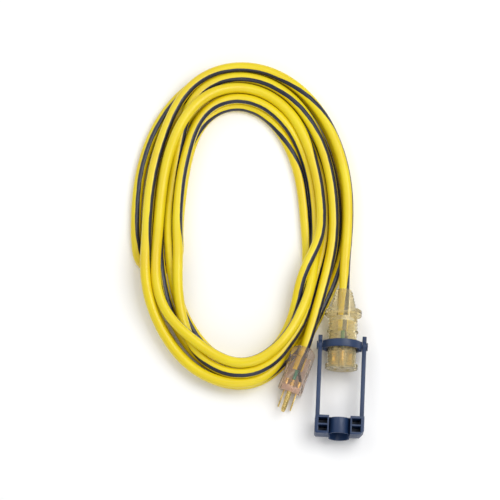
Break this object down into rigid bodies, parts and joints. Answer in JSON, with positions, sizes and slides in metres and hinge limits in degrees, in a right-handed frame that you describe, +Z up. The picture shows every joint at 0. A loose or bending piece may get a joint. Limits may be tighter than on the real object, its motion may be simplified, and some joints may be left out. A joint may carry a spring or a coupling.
{
  "type": "extension cord",
  "caption": "Coiled outdoor extension cord: striped jacket, clear plug with blades and ground pin, clear connector with a sliding collar and a swinging locking bail.",
  "frame": {"origin": "on the surface it lies on, under the middle of the connector with its locking bail", "axes": "+Z up from the surface; +Y along the connector from its mouth to its cord; +X across the connector, to the right seen from above"},
  "size_m": [0.2426, 0.3884, 0.0394],
  "materials": {
    "clear_amber": "clear amber-tinted moulded vinyl, glossy",
    "brass": "bright, slightly tarnished",
    "wire_black": "satin insulation",
    "wire_white": "satin insulation",
    "wire_green": "satin insulation",
    "lamp_glass": "small glass lamp",
    "lamp_lead": "tinned wire",
    "blue_plastic": "satin navy blue moulded plastic",
    "clear_plug": "clear moulded vinyl, faint pink tint, glossy",
    "carrier_plastic": "off-white moulded plastic",
    "cord_jacket": "bright yellow vinyl jacket with one dark blue stripe, satin"
  },
  "bodies": {
    "cord_set": {"connector_shell": "clear_amber", "connector_face": "clear_amber", "contact_block": "clear_amber", "line_contact": "brass", "neutral_contact": "brass", "ground_contact": "brass", "line_blade": "brass", "neutral_blade": "brass", "ground_pin": "brass", "connector_line_wire": "wire_black", "plug_line_wire": "wire_black", "connector_neutral_wire": "wire_white", "plug_neutral_wire": "wire_white", "connector_ground_wire": "wire_green", "plug_ground_wire": "wire_green", "indicator_lamp": "lamp_glass", "lamp_lead_line": "lamp_lead", "lamp_lead_neutral": "lamp_lead", "plug_shell": "clear_plug", "blade_carrier": "carrier_plastic", "cord_coil": "cord_jacket", "cord_lead_connector": "cord_jacket", "cord_lead_plug": "cord_jacket"},
    "lock_collar": {"lock_collar": "blue_plastic", "pivot_pin_left": "blue_plastic", "pivot_pin_right": "blue_plastic"},
    "locking_bail": {"bail_frame": "blue_plastic"}
  },
  "joints": [
    {"name": "collar_slide", "type": "slide", "parent": "cord_set", "child": "lock_collar", "axis": [0, 1, 0], "range_m": [-0.0135, 0.008]},
    {"name": "bail_swing", "type": "hinge", "parent": "lock_collar", "child": "locking_bail", "pos_m": [0, 0.0185, 0.0197], "axis": [-1, 0, 0], "range_deg": [0, 120]}
  ]
}
